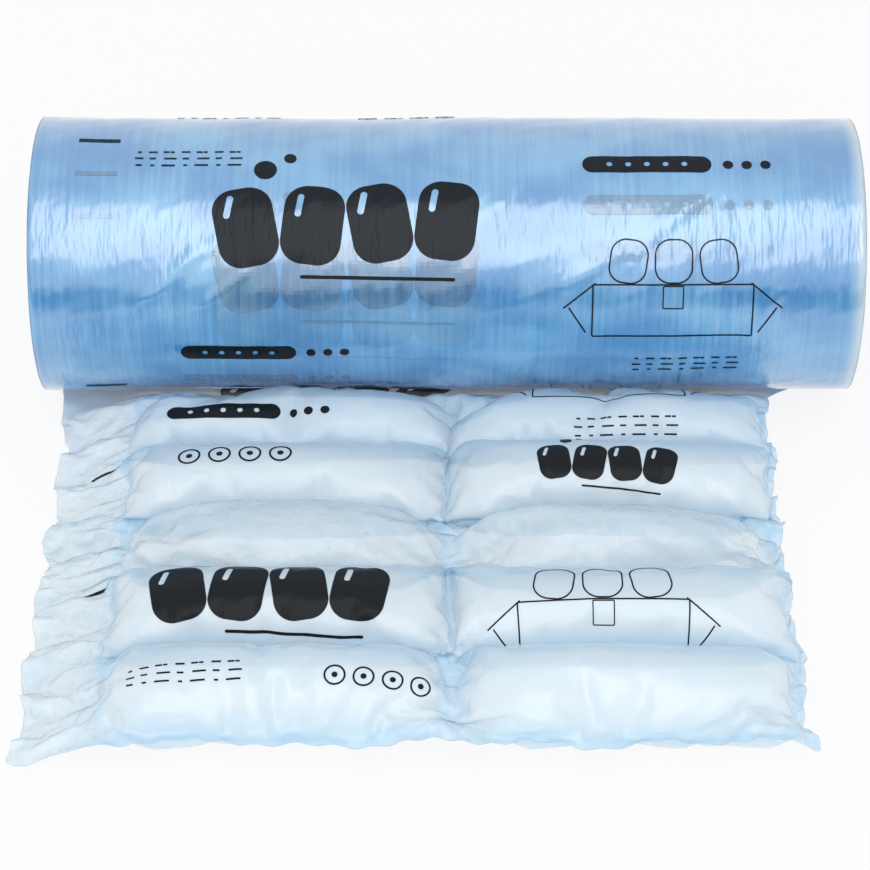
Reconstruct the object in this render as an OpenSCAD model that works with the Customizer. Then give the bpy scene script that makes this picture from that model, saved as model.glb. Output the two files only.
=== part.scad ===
// Roll of air-cushion film lying on its side, with the first rows of its own web
// blown up and laid out in front of it. All sizes are in millimetres.
// The roll's axis is X. The floor is z = 0, and the origin is on it under the middle of the axis.
// The web leaves the roll underneath and runs forwards, towards -Y.

/* [Roll] */
// Width of the flat web, and so of the roll
film_w = 400; // [250:5:600]
// Diameter over the outermost turn
roll_diameter = 136; // [100:1:220]
// How far the roll's own weight flattens its underside
flat_depth = 0.4; // [0.2:0.1:1]
// How far the outside swells and dips along the axis, from uneven winding
wind_wave = 0.5; // [0:0.1:1]
// Number of bands of turns that show as rings on each end
ring_count = 14; // [6:1:24]
// Most that one band of turns stands back from the end
ring_step = 1.4; // [0.4:0.1:3]
// Rounding of the outermost turns at the roll's edges
edge_r = 1.2; // [0.4:0.1:2]

/* [Cardboard core] */
// Bore that the spindle goes into
core_bore = 50; // [40:1:60]
// Wall of the cardboard tube
core_wall = 3.5; // [2:0.5:6]
// How far each end of the cardboard tube stands out of the turns
core_proud = 1; // [0.5:0.5:8]
// Chamfer on the tube's inner edges
core_chamfer = 0.6; // [0.2:0.1:1]
// Play between the tube and the first turn
core_play = 0.1; // [0.05:0.05:0.3]

/* [Blown-up rows] */
// Distance from one cross seal to the next on a full row
row_pitch = 52; // [46:1:64]
// Height of a full row
tube_h = 43.5; // [36:0.5:50]
// Row that holds too little air, counted from the roll
slack_row = 3; // [2:1:4]
// Height of that row
slack_h = 37; // [24:1:42]
// Length over which that row swells from its sealed end to its full height
slack_end = 60; // [30:1:80]
// Share by which the slack row's crest sags between its buckles
slack_dip = 0.08; // [0:0.02:0.3]
// Distance from one buckle of the slack row to the next
buckle_pitch = 43; // [30:1:60]
// Flat band along each cross seal
cross_seal_w = 3; // [2:0.5:5]
// Free film in front of the last cross seal, up to the perforation
front_hem = 3; // [1:0.5:8]
// Thickness of the two films where they are sealed or lie together
web_t = 0.6; // [0.4:0.1:1]
// How far the cross seals pucker up and down
pucker = 1.4; // [0:0.2:3]
// How far the front edge waves forwards and back
hem_wave = 1.8; // [0:0.2:4]

/* [Columns] */
// Width of the unfilled inflation channel along the left edge, flat
channel_w = 45; // [20:1:60]
// Flat band of the seal between the two columns of chambers
mid_seal_w = 4; // [2:0.5:8]
// Flat band of the seal along the right edge
edge_seal_w = 6; // [3:0.5:10]
// Share of its flat width that the web keeps when its chambers are blown up
col_shrink = 0.885; // [0.82:0.005:0.96]
// Where the seal between the columns lies once blown up, from the middle of the roll
mid_x = 1; // [-20:1:20]
// Length over which a chamber swells from its sealed end to its full height
end_len = 27; // [15:1:40]
// How far the edges stand out where a cross seal reaches them
ear = 3.5; // [0:0.5:6]
// How far the seals at the chambers' ends pucker up and down
end_pucker = 4.5; // [0:0.5:6]
// How far the channel's free edge ruffles up and down
ruffle = 4.4; // [0:0.2:8]
// How far the channel's front corner stays behind the hem
corner_back = 5.5; // [0:0.5:12]

/* [Hidden] */

// The roll
roll_r = roll_diameter / 2;
roll_z = roll_r - flat_depth;
core_r = core_bore / 2 + core_wall;
first_turn_r = core_r + core_play;
wave_count = 24;
wave_long = 250;
wave_short = 97;

// The rows, from the roll to the front. Each share is of row_pitch or of tube_h.
// The first is pressed against the roll, and the slack one lets its neighbours close up.
pitch_share = [0.92, 0.87, 0.74, 0.98, 1.01];
height_share = [0.83, 1, 1, 1, 1];
rows = len(pitch_share);
floor_sink = 1.6;
row_len = [for (share = pitch_share) row_pitch * share];
tube_r = tube_h / 2;
touch_y = 2 * sqrt(roll_r * tube_r);
seam_z = tube_r - floor_sink;

// Soft forms along the seals and the free edges. A wave's length is in millimetres, and a
// chamber's end seal has pucker_waves of them, shifted from row to row.
pucker_pitch = 46;
pucker_waves = 2;
pucker_shift = [17, 120, 252, 69, 189, 292, 52];
pucker_reach = 9;
hem_pitch = [57, 132];
ruffle_pitch = [27.6, 18.8];
channel_fall = 1.6;
edge_fall = 0.86;

// How finely the strip is divided
row_cells = 9;
col_cells = 17;
channel_cells = 6;
lead_cells = 5;

// The lead is the flat web between the roll's underside and the first cross seal.
// It starts where its own thickness just fits under the roll.
lead_gap = 0.3;
lead_start = sqrt(pow(roll_r + lead_gap, 2) - pow(roll_z - web_t, 2));

$fn = 120;

function total(list, n) = n <= 0 ? 0 : list[n - 1] + total(list, n - 1);

// Distance in front of the roll's axis of the cross seal behind row i
function seam_at(i) = touch_y - row_len[0] / 2 + total(row_len, i);

// A value from -1 to 1 that looks irregular, for the edges of the turns
function scatter(k) = sin(k * 137.5 + 40) * cos(k * 71.3);

// Radius of the outside at a place along the axis
function outside_r(x) = roll_r + wind_wave * (
    0.6 * sin(360 * x / wave_long + 20) + 0.4 * sin(360 * x / wave_short + 75) - 0.9);

// How far ring k stands back from the end
function ring_back(k) = ring_step * (0.5 + 0.5 * scatter(k));

// One end of the roll's profile, from the outside in, as [radius, place along the axis]
function end_steps(side) = [
    for (k = [0 : ring_count - 1], out = [0, 1])
        let (r0 = roll_r - edge_r - wind_wave,
             depth = r0 - first_turn_r,
             r = r0 - depth * (k + out) / ring_count)
        [r, side * (film_w / 2 - ring_back(k))]
];

function flip(list) = [for (i = [len(list) - 1 : -1 : 0]) list[i]];

module core() {
    half = film_w / 2 + core_proud;
    color("tan")
        translate([0, 0, roll_z])
            rotate([0, 90, 0])
                rotate_extrude()
                    polygon([
                        [core_bore / 2, -half + core_chamfer],
                        [core_bore / 2 + core_chamfer, -half],
                        [core_r, -half],
                        [core_r, half],
                        [core_bore / 2 + core_chamfer, half],
                        [core_bore / 2, half - core_chamfer]
                    ]);
}

module turns_profile() {
    half = film_w / 2 - ring_back(0) - edge_r;
    outside = [
        for (i = [0 : wave_count])
            let (x = -half + 2 * half * i / wave_count)
            [outside_r(x), x]
    ];
    polygon(concat(outside, end_steps(1), flip(end_steps(-1))));
}

module film_roll() {
    color("lightskyblue")
        difference() {
            translate([0, 0, roll_z])
                rotate([0, 90, 0])
                    rotate_extrude()
                        turns_profile();
            // The floor under the roll
            translate([-film_w, -roll_r, -2 * roll_r])
                cube([2 * film_w, 2 * roll_r, 2 * roll_r]);
        }
}

// Shares from 0 to 1 that crowd together at both ends, where a chamber curves most
function crowded(n) = [for (k = [0 : n]) (1 - cos(180 * k / n)) / 2];

// Stations along the strip: [row, share of that row], with row -1 for the lead
// and the row after the last for the hem
stations = concat(
    [for (k = [0 : lead_cells]) [-1, k / lead_cells]],
    [for (i = [0 : rows - 1], t = crowded(row_cells)) [i, t]],
    [[rows, 1]]
);

// True on the web before and after the rows, where there are no chambers
function off_rows(st) = st[0] < 0 || st[0] == rows;

// Lines across the strip: [column, share of that column]
// with column 0 for the channel, 1 and 2 for the chambers and 3 for the right edge
lines = concat(
    [for (k = [0 : channel_cells - 1]) [0, k / channel_cells]],
    [for (c = [1, 2], s = crowded(col_cells)) [c, s]],
    [[3, 1]]
);

// The flat web, measured from the middle of the roll
col_w = (film_w - channel_w - mid_seal_w - edge_seal_w) / 2;
left_flat = channel_w - film_w / 2;
right_flat = left_flat + col_w + mid_seal_w;
mid_flat = right_flat - mid_seal_w / 2;

function lead_end() = seam_at(0) - cross_seal_w / 2;

// How far the front edge stays back at a line, from its waves and the channel's corner
function hem_back(line) =
    hem_wave * (sin(360 * flat_x(line) / hem_pitch[0] + 57) + sin(360 * flat_x(line) / hem_pitch[1] + 23))
        + (line[0] == 0 ? corner_back * (1 - line[1]) : 0);

// Distance in front of the roll's axis. The last row takes up the waves of the front edge.
function place_y(line, st) = st[0] < 0
    ? lead_start + (lead_end() - lead_start) * st[1]
    : st[0] == rows ? seam_at(rows) + front_hem - hem_back(line)
    : seam_at(st[0]) + cross_seal_w / 2 + (row_len[st[0]] - cross_seal_w) * st[1]
        - (st[0] == rows - 1 ? hem_back(line) * pow(st[1], 3) : 0);

// 1 on a cross seal and 0 in the middle of a row
function seamness(st) = off_rows(st) ? 1 : pow(2 * st[1] - 1, 2);

// Place of a line on the flat web
function flat_x(line) =
    line[0] == 0 ? -film_w / 2 + channel_w * line[1]
    : line[0] == 1 ? left_flat + col_w * line[1]
    : line[0] == 2 ? right_flat + col_w * line[1]
    : film_w / 2;

// How far the middle of a row draws in: all of it at an edge, nothing along the middle seal
function drawn_in(line) =
    line[0] == 0 ? -1 : line[0] == 1 ? line[1] - 1 : line[0] == 2 ? line[1] : 1;

function blown_x(line, st) =
    mid_x + col_shrink * (flat_x(line) - mid_flat) - ear * (1 - seamness(st)) * drawn_in(line);

// The lead narrows from the roll's flat web to the blown-up width
function line_x(line, st) =
    st[0] < 0
        ? flat_x(line) + (blown_x(line, st) - flat_x(line)) * st[1]
        : blown_x(line, st);

// Share of its full height that a chamber has at a distance d from its sealed end,
// when it takes a length reach to swell
function swell(d, reach) = d >= reach ? 1 : pow(sin(90 * d / reach), 0.72);

// Distance of a line from the nearer sealed end of its chamber
function from_end(line) = col_w * min(line[1], 1 - line[1]);

function is_slack(row) = row == slack_row - 1;

function swell_len(row) = is_slack(row) ? slack_end : end_len;

function full_h(row) = (is_slack(row) ? slack_h : tube_h * height_share[row]) / 2;

// Share of its height that a row keeps at a place along it
function buckled(row, x) =
    is_slack(row) ? 1 - slack_dip * pow(sin(180 * x / buckle_pitch + 25), 2) : 1;

// Half the space between the two films, beyond the sealed web
function rise(line, st, x) =
    off_rows(st) || line[0] == 0 || line[0] == 3 ? 0
    : (full_h(st[0]) - web_t / 2) * sqrt(1 - pow(2 * st[1] - 1, 2)) * buckled(st[0], x)
        * swell(from_end(line), swell_len(st[0]));

// How far the web has climbed from the floor, 0 at the roll and 1 at the first cross seal
function climb(st) = st[0] < 0 ? pow(st[1], 2.5) : 1;

// Up and down of a cross seal's puckers, which die away towards the middle of a row
function fold(line, st, x) =
    pucker * seamness(st) * climb(st) * swell(from_end(line), end_len)
        * sin(360 * x / pucker_pitch - 57 * st[0]);

// Up and down of the seal at a chamber's end, numbered from the left, at a distance d from it
function end_fold(end, st, d) =
    off_rows(st) ? 0
    : end_pucker * exp(-pow(d / pucker_reach, 2)) * sqrt(sin(180 * st[1]))
        * sin(360 * pucker_waves * st[1] + pucker_shift[(st[0] + end) % len(pucker_shift)]);

// Up and down of the film round all end seals
function end_folds(line, st) =
    line[0] == 0 ? end_fold(1, st, channel_w * (1 - line[1]))
    : line[0] == 1 ? end_fold(1, st, col_w * line[1]) + end_fold(2, st, col_w * (1 - line[1]))
    : line[0] == 2 ? end_fold(2, st, col_w * line[1]) + end_fold(4, st, col_w * (1 - line[1]))
    : end_fold(4, st, 0);

// Height of the channel's ruffles, two sets of waves that cross
function ruffles(st, x, y) =
    ruffle * climb(st) * (1 + 0.5 * sin(360 * (0.13 * x + 0.99 * y) / ruffle_pitch[0])
        + 0.36 * sin(360 * (0.62 * x - 0.8 * y) / ruffle_pitch[1] + 57));

// Height of the middle of the web, which the cross seals carry and the channel lets fall
function mid_z(line, st, x, y) =
    let (level = web_t / 2 + (seam_z - web_t / 2) * climb(st))
    (line[0] == 0
        ? level * pow(line[1], channel_fall) + ruffles(st, x, y) * (1 - pow(line[1], 2))
        : line[0] == 3 ? level * edge_fall
        : level + fold(line, st, x))
    + end_folds(line, st);

// Underside of the roll above a point y in front of its axis, or the roll's top beyond it
function roll_over(y) =
    y >= roll_r ? 2 * roll_z : roll_z - sqrt(pow(roll_r + lead_gap, 2) - y * y);

function top_z(line, st, x, y) =
    max(web_t, min(mid_z(line, st, x, y) + web_t / 2 + rise(line, st, x), roll_over(y)));

function under_z(line, st, x, y) =
    max(0, min(mid_z(line, st, x, y) - web_t / 2 - rise(line, st, x), top_z(line, st, x, y) - web_t));

module cushion_strip() {
    nu = len(lines);
    nv = len(stations);
    tops = [
        for (st = stations, line = lines)
            let (y = place_y(line, st), x = line_x(line, st))
            [x, -y, top_z(line, st, x, y)]
    ];
    unders = [
        for (st = stations, line = lines)
            let (y = place_y(line, st), x = line_x(line, st))
            [x, -y, under_z(line, st, x, y)]
    ];
    n = nu * nv;
    // A rim of faces joins the two films, round all four edges
    rim = concat(
        [for (i = [0 : nu - 1]) i],
        [for (j = [1 : nv - 1]) j * nu + nu - 1],
        [for (i = [nu - 2 : -1 : 0]) (nv - 1) * nu + i],
        [for (j = [nv - 2 : -1 : 1]) j * nu]
    );
    cells = [for (j = [0 : nv - 2], i = [0 : nu - 2]) j * nu + i];
    top_faces = [for (a = cells, f = [[a, a + 1, a + nu + 1], [a, a + nu + 1, a + nu]]) f];
    under_faces = [for (f = top_faces) [f[0] + n, f[2] + n, f[1] + n]];
    rim_faces = [
        for (k = [0 : len(rim) - 1])
            let (a = rim[k], b = rim[(k + 1) % len(rim)])
            for (f = [[a, b + n, b], [a, a + n, b + n]]) f
    ];
    color("lightblue")
        polyhedron(concat(tops, unders), concat(top_faces, under_faces, rim_faces));
}

core();
film_roll();
cushion_strip();
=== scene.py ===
# %% [markdown]
# # A roll of air-cushion film with its first rows blown up
#
# Air-cushion film is sold flat: two thin films, sealed together into long chambers and wound on a
# cardboard tube. A machine blows the chambers up one after the other. This scene shows a lying
# roll, and the first five rows of its film blown up and laid out in front of it.
#
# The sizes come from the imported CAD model, and this script gives it its looks: the creased and
# glossy film, its print, the many turns at the roll's ends, and the light of a photo studio.

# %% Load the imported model
import math

import bmesh
import bpy
import numpy as np
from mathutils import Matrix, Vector
from mathutils.geometry import delaunay_2d_cdt


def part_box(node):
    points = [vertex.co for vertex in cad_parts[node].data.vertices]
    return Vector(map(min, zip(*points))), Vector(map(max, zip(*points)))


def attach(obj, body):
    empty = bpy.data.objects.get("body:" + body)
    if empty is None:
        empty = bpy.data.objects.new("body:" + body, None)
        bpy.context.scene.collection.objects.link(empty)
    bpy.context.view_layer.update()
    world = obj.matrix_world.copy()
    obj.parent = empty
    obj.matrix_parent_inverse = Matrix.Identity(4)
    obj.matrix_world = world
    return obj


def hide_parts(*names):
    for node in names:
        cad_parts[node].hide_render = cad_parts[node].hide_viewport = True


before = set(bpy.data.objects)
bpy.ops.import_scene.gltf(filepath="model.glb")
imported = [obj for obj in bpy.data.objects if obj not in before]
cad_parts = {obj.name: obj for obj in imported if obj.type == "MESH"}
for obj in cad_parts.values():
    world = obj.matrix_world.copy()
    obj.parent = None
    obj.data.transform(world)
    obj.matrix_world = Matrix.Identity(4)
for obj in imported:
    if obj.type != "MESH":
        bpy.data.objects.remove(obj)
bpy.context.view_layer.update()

MM = 0.001
for name in sorted(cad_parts):
    low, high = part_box(name)
    print(name, "from", [round(c / MM, 1) for c in low], "to", [round(c / MM, 1) for c in high], "mm")

# %% [markdown]
# ## The camera
#
# The photograph looks down on the roll from straight in front, through a long lens. Its tilt was
# worked out from how much the floor is foreshortened, and its distance from how much wider the
# near side of the roll looks than its far side. A long lens keeps the roll's outline almost
# straight, so the focal length matters as much as the place.

# %% Camera
PHOTO_PX = 870
FOCAL_PX = 2743
CAMERA_PLACE = (-0.0057, -1.1093, 0.8802)
CAMERA_TILT = math.radians(40)
SENSOR = 36

camera_data = bpy.data.cameras.new("studio_camera")
camera_data.sensor_width = SENSOR
camera_data.lens = SENSOR * FOCAL_PX / PHOTO_PX
camera = bpy.data.objects.new("studio_camera", camera_data)
camera.location = CAMERA_PLACE
camera.rotation_euler = (math.pi / 2 - CAMERA_TILT, 0, 0)
bpy.context.scene.collection.objects.link(camera)
bpy.context.scene.camera = camera
print("lens", round(camera_data.lens, 1), "mm on a sensor of", SENSOR, "mm")

# %% [markdown]
# ## Helpers for node trees
#
# Materials and Geometry Nodes are both trees of nodes, and writing them in Python soon gets long.
# So a node's output is kept as a wire here. A sum that is written with a wire becomes a Math node,
# and the other helpers add the nodes that are needed again and again. Each of them finds its tree
# through the wires that it is given.

# %% Wires and sums
class Wire:
    """An output of a node. With it, + - * / and abs() each add a Math node."""

    def __init__(self, socket):
        self.socket = socket
        self.tree = socket.id_data

    def __add__(self, other):
        return calc("ADD", self, other)

    def __sub__(self, other):
        return calc("SUBTRACT", self, other)

    def __rsub__(self, other):
        return calc("SUBTRACT", other, self)

    def __mul__(self, other):
        return calc("MULTIPLY", self, other)

    def __truediv__(self, other):
        return calc("DIVIDE", self, other)

    def __abs__(self):
        return calc("ABSOLUTE", self)


def connect(value, socket):
    """Link a wire to an input, or fill the input with a plain value."""
    if isinstance(value, Wire):
        socket.id_data.links.new(value.socket, socket)
    else:
        socket.default_value = value


def add(tree, kind, inputs=None, **options):
    """Add a node, set its options and connect its inputs."""
    node = tree.nodes.new(kind)
    for name, value in options.items():
        setattr(node, name, value)
    for key, value in (inputs or {}).items():
        connect(value, node.inputs[key])
    return node


def out(tree, kind, inputs=None, output=0, **options):
    """Add a node and take one of its outputs."""
    return Wire(add(tree, kind, inputs, **options).outputs[output])


def wires(tree, kind, inputs=None, **options):
    """Add a node and take all its outputs, by their names."""
    return {socket.name: Wire(socket) for socket in add(tree, kind, inputs, **options).outputs}


def tree_of(values):
    """The tree of the first wire among some values."""
    return next(value.tree for value in values if isinstance(value, Wire))


def calc(operation, *values, clamp=False):
    """One sum of numbers."""
    return out(tree_of(values), "ShaderNodeMath", dict(enumerate(values)), operation=operation,
               use_clamp=clamp)


def vector(operation, *values):
    """One sum of vectors."""
    result = "Value" if operation == "LENGTH" else "Vector"
    return out(tree_of(values), "ShaderNodeVectorMath", dict(enumerate(values)), result, operation=operation)


def largest(*values):
    """The largest of some numbers."""
    result = values[0]
    for value in values[1:]:
        result = calc("MAXIMUM", result, value)
    return result


def xyz(place):
    """The three numbers of a vector."""
    return [Wire(socket) for socket in add(place.tree, "ShaderNodeSeparateXYZ", {0: place}).outputs]


def from_xyz(tree, x, y=0.0, z=0.0):
    """A vector from three numbers."""
    return out(tree, "ShaderNodeCombineXYZ", {"X": x, "Y": y, "Z": z})


def turned(place, degrees):
    """A place turned round the z axis."""
    return out(place.tree, "ShaderNodeVectorRotate", {"Vector": place, "Angle": math.radians(degrees)},
               rotation_type="Z_AXIS")


print("wires ready")

# %% [markdown]
# The finishes need a few more: smooth steps, blends of two colours, noise, and bump. Noise and bump
# are given in millimetres, so that they keep to the real size of what they show.

# %% Helpers for finishes
def ramp(value, low, high, to_low=0.0, to_high=1.0):
    """A smooth step from to_low, where value is low, to to_high, where it is high."""
    return out(value.tree, "ShaderNodeMapRange",
               {"Value": value, "From Min": low, "From Max": high, "To Min": to_low, "To Max": to_high},
               output="Result", interpolation_type="SMOOTHSTEP")


def blend(factor, first, second):
    """A colour between two others."""
    return out(tree_of((factor, first)), "ShaderNodeMix", {0: factor, 6: first, 7: second}, output=2,
               data_type="RGBA")


def noise(place, scale, detail=2.0, roughness=0.5, stretch=None, space="3D"):
    """Noise from -0.5 to 0.5, at a scale given for each millimetre."""
    if stretch:
        place = vector("MULTIPLY", place, stretch)
    inputs = {"Vector": place, "Scale": scale, "Detail": detail, "Roughness": roughness}
    return out(place.tree, "ShaderNodeTexNoise", inputs, "Fac", noise_dimensions=space) - 0.5


def film_noise(place, scale, detail=2.0, roughness=0.5, stretch=None):
    """The same noise on the flat film, which is twice as quick in two dimensions."""
    return noise(place, scale, detail, roughness, stretch, space="2D")


def film_place(tree):
    """The place on the flat film in millimetres, from the piece's own UV map."""
    return vector("MULTIPLY", out(tree, "ShaderNodeUVMap", uv_map="film"), (1 / MM, 1 / MM, 0))


def bump(height, strength=1.0):
    """A normal that follows a height in millimetres."""
    return out(height.tree, "ShaderNodeBump", {"Height": height, "Distance": MM, "Strength": strength})


def emptied_tree(owner):
    """The node tree of a material or a world, with nothing in it."""
    owner.use_nodes = True
    owner.node_tree.nodes.clear()
    return owner.node_tree


def new_material(name):
    """A material with one Principled shader that goes to its output."""
    material = bpy.data.materials.new(name)
    tree = emptied_tree(material)
    shader = add(tree, "ShaderNodeBsdfPrincipled")
    add(tree, "ShaderNodeOutputMaterial", {"Surface": Wire(shader.outputs[0])})
    return material, tree, shader


def fill(shader, **inputs):
    """Connect the inputs of a shader. Their names have _ for a space."""
    for key, value in inputs.items():
        connect(value, shader.inputs[key.replace("_", " ")])


print("helpers for finishes ready")

# %% [markdown]
# ## The print on the film
#
# The film carries black print that repeats along it. Here it is a plain design of cushions,
# bars, rings and an open carton. A picture of it wrapped on the film would be blurred close by, and
# drawing it with shader nodes makes every ray work through hundreds of them. So the print is thin
# sheets of ink, cut to shape on the flat film and then laid on it.
#
# Each shape starts as a loop of points in millimetres. A loop inside another one is a hole. A
# Delaunay triangulation fills the loops with small triangles, so that the ink can bend.

# %% Loops of points
INK_CELL = 2.0


def laid(points, centre, tilt, size=1.0):
    """Points scaled, turned by a tilt in degrees, and moved to a centre."""
    c, s = math.cos(math.radians(tilt)) * size, math.sin(math.radians(tilt)) * size
    return points @ ((c, s), (-s, c)) + centre


def cuts_of(points, after):
    """Into how many cells each edge is cut, which is none for an edge without length."""
    lengths = np.linalg.norm(after - points, axis=1)
    return np.where(lengths < 1e-6, 0, np.ceil(lengths / INK_CELL)).astype(int)


def loop(centre, length, width, corner, tilt=0.0):
    """The outline of a bar with round corners, which is a disc when it is all corner."""
    corner = min(corner, length / 2, width / 2)
    steps = max(3, round(2.2 * corner))
    points = []
    for quarter, (side, end) in enumerate(((1, 1), (-1, 1), (-1, -1), (1, -1))):
        for k in range(steps + 1):
            angle = math.pi / 2 * (quarter + k / steps)
            points.append((side * (length / 2 - corner) + corner * math.cos(angle),
                           end * (width / 2 - corner) + corner * math.sin(angle)))
    points = laid(np.array(points), centre, tilt)
    after = np.roll(points, -1, axis=0)
    return np.concatenate([a + (b - a) * np.linspace(0, 1, cuts, endpoint=False)[:, None]
                           for a, b, cuts in zip(points, after, cuts_of(points, after))])


def outline(centre, length, width, corner, line, tilt=0.0):
    """The two loops on either side of a drawn line."""
    return [loop(centre, length + d, width + d, corner + d / 2, tilt) for d in (line, -line)]


print("a disc 5 mm across has", len(loop((0, 0), 5, 5, 2.5)), "points")


# %% Loops filled with triangles
def within(places, loops):
    """True for each place that lies inside an odd number of loops."""
    inside = np.zeros(len(places), bool)
    x, y = places[:, :1], places[:, 1:]
    for edge in loops:
        (x0, y0), (x1, y1) = edge.T, np.roll(edge, -1, axis=0).T
        rise_of = np.where(y1 == y0, 1, y1 - y0)
        crossing = ((y0 > y) != (y1 > y)) & (x < (x1 - x0) * (y - y0) / rise_of + x0)
        inside ^= crossing.sum(1) % 2 == 1
    return inside


def inked(*loops):
    """Points and triangles of the area inside the loops."""
    edge_points = np.concatenate(loops)
    low, high = edge_points.min(0), edge_points.max(0)
    steps = [np.arange(a + INK_CELL / 2, b, INK_CELL) for a, b in zip(low, high)]
    lattice = np.stack(np.meshgrid(*steps), -1).reshape(-1, 2)
    lattice = lattice[within(lattice, loops)]
    if len(lattice):
        gap = np.linalg.norm(lattice[:, None] - edge_points[None], axis=2).min(1)
        lattice = lattice[gap > INK_CELL / 2]
    points = np.concatenate([edge_points, lattice])
    edges, start = [], 0
    for one in loops:
        edges += [(start + k, start + (k + 1) % len(one)) for k in range(len(one))]
        start += len(one)
    found, _, triangles, *_ = delaunay_2d_cdt([Vector(p) for p in points], edges, [], 0, 1e-5)
    found, triangles = np.array([tuple(p) for p in found]), np.array(triangles)
    return found, triangles[within(found[triangles].mean(1), loops)]


print("that disc in ink has", len(inked(loop((0, 0), 5, 5, 2.5))[1]), "triangles")


# %% Motifs
def row_of(count, pitch, shape):
    """The same shape several times beside each other, made by a function of its place."""
    return [shape(pitch * (k - (count - 1) / 2), k) for k in range(count)]


def cushion(x, k):
    """A fat cushion with a glint, which leans to one side or the other."""
    lean = 9 if k % 2 else -9
    return inked(loop((x, 0), 29, 39, 11, lean), loop((x - 7 + lean / 9, -10), 3.2, 12, 1.6, 12))


def ring(x, k):
    """A ring with a dot in it."""
    return inked(*outline((x, 0), 11, 11, 5.5, 1.1), loop((x, 0), 3.4, 3.4, 1.7))


# each motif is a list of shapes, placed in mm round its own middle
MOTIFS = {
    "cushions": row_of(4, 32, cushion) + [inked(loop(*dot)) for dot in (((-38, -30), 11, 11, 5.5),
                                                                        ((-26, -37), 6, 6, 3),
                                                                        ((14, 27), 74, 1.8, 0.9, 3))],
    "bar": [inked(loop((-12, 0), 62, 10, 5), *row_of(5, 9, lambda x, k: loop((x - 12, 0), 3, 3, 1.5)))]
           + row_of(3, 9, lambda x, k: inked(loop((x + 36, 0), 5, 5, 2.5))),
    "rings": row_of(4, 16, ring),
    "hairlines": [inked(loop((x + 1.2 * (k % 3), 4.4 * line), 4.2 - 1.1 * ((k + line) % 3), 0.9, 0.3))
                  for line in (-1, 0, 1) for k, x in enumerate(np.arange(-26, 27, 5.3))],
    "carton": [inked(*outline((0, 14), 96, 34, 1, 0.9)), inked(*outline((0, 5), 12, 14, 0.5, 0.7))]
              + [inked(loop((side * x, y), length, 0.9, 0.45, side * tilt))
                 for x, y, length, tilt in ((56, 4, 25, 40), (57, 20, 20, -58)) for side in (-1, 1)]
              + row_of(3, 27, lambda x, k: inked(*outline((x, -17), 22, 26, 9, 0.9, 8 - 8 * k))),
}
print("ink shapes:", {name: len(shapes) for name, shapes in MOTIFS.items()})

# %% [markdown]
# The motifs are then laid out on one repeat of the film, 450 mm long. The short dashes at the
# left edge come three times in it. Machines read such marks, and every film of this kind has them.

# %% Print layout
REPEAT = 450
MARKS = 3
MARK = inked(loop((-168, 75), 20, 2.4, 0.4))
# motif, place across, place along, size, tilt; all on the flat film, in mm and degrees
LAYOUT = [("bar", -90, 42, 0.9, 0), ("hairlines", 118, 50, 1, 0), ("rings", -92, 104, 0.9, 0),
          ("cushions", 104, 110, 0.52, 3), ("cushions", -72, 258, 0.85, 0), ("carton", 98, 266, 0.8, 0),
          ("hairlines", -106, 334, 1, 0), ("rings", -20, 336, 0.8, 0), ("bar", 108, 392, 1, 0),
          ("hairlines", -122, 388, 1, 0), ("cushions", -48, 424, 1, -2), ("carton", 108, 456, 0.8, 0)]


def flat_print(start, end, kinds=tuple(MOTIFS), shift=0.0):
    """A flat mesh, in metres, of the shapes that lie between start and end along the film."""
    pieces = []
    for turn in range(math.floor(start / REPEAT) - 1, math.ceil(end / REPEAT) + 1):
        for kind, across, along, size, tilt in LAYOUT:
            if kind in kinds:
                place = (across, along + turn * REPEAT + shift)
                pieces += [(laid(points, place, tilt, size), triangles) for points, triangles in MOTIFS[kind]]
        pieces += [(MARK[0] + (0, mark * REPEAT / MARKS + turn * REPEAT + shift), MARK[1])
                   for mark in range(MARKS)]
    pieces = [(points, triangles) for points, triangles in pieces
              if points[:, 1].min() > start and points[:, 1].max() < end]
    starts = np.cumsum([0] + [len(points) for points, _ in pieces[:-1]])
    points = np.concatenate([points for points, _ in pieces]) * MM
    triangles = np.concatenate([triangles + first for (_, triangles), first in zip(pieces, starts)])
    mesh = bpy.data.meshes.new("flat_print")
    # the film's length runs towards the viewer, so the triangles are turned over to face up on it
    mesh.from_pydata(np.pad(points, ((0, 0), (0, 1))).tolist(), [], triangles[:, ::-1].tolist())
    return mesh


print(len(LAYOUT), "motifs on", REPEAT, "mm of film")

# %% [markdown]
# ## The finishes
#
# The wound film is a thousand clear blue turns deep, so it looks a rich blue. Its gloss is broken
# up by fine ridges that run round the roll, where the film was stretched in winding. Those ridges
# are far thinner than the mesh's cells, so they are bump. Ink is the same film with another
# colour, so one function makes both, and the ridges and highlights run on across the print. Ink on
# the turns below shows through paler.

# %% Wound film
WOUND_DEEP = (0.03, 0.25, 0.58, 1)
WOUND_MILKY = (0.13, 0.42, 0.73, 1)
WOUND_EDGE = (0.48, 0.62, 0.74, 1)
INK = (0.006, 0.008, 0.011, 1)
# the last millimetres at both edges are paler, more of them at the right one
EDGE_SHIFT = 3
EDGE_FROM = 195
EDGE_TO = 203
RIDGE_H = 0.07
JAG_H = 0.62


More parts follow.
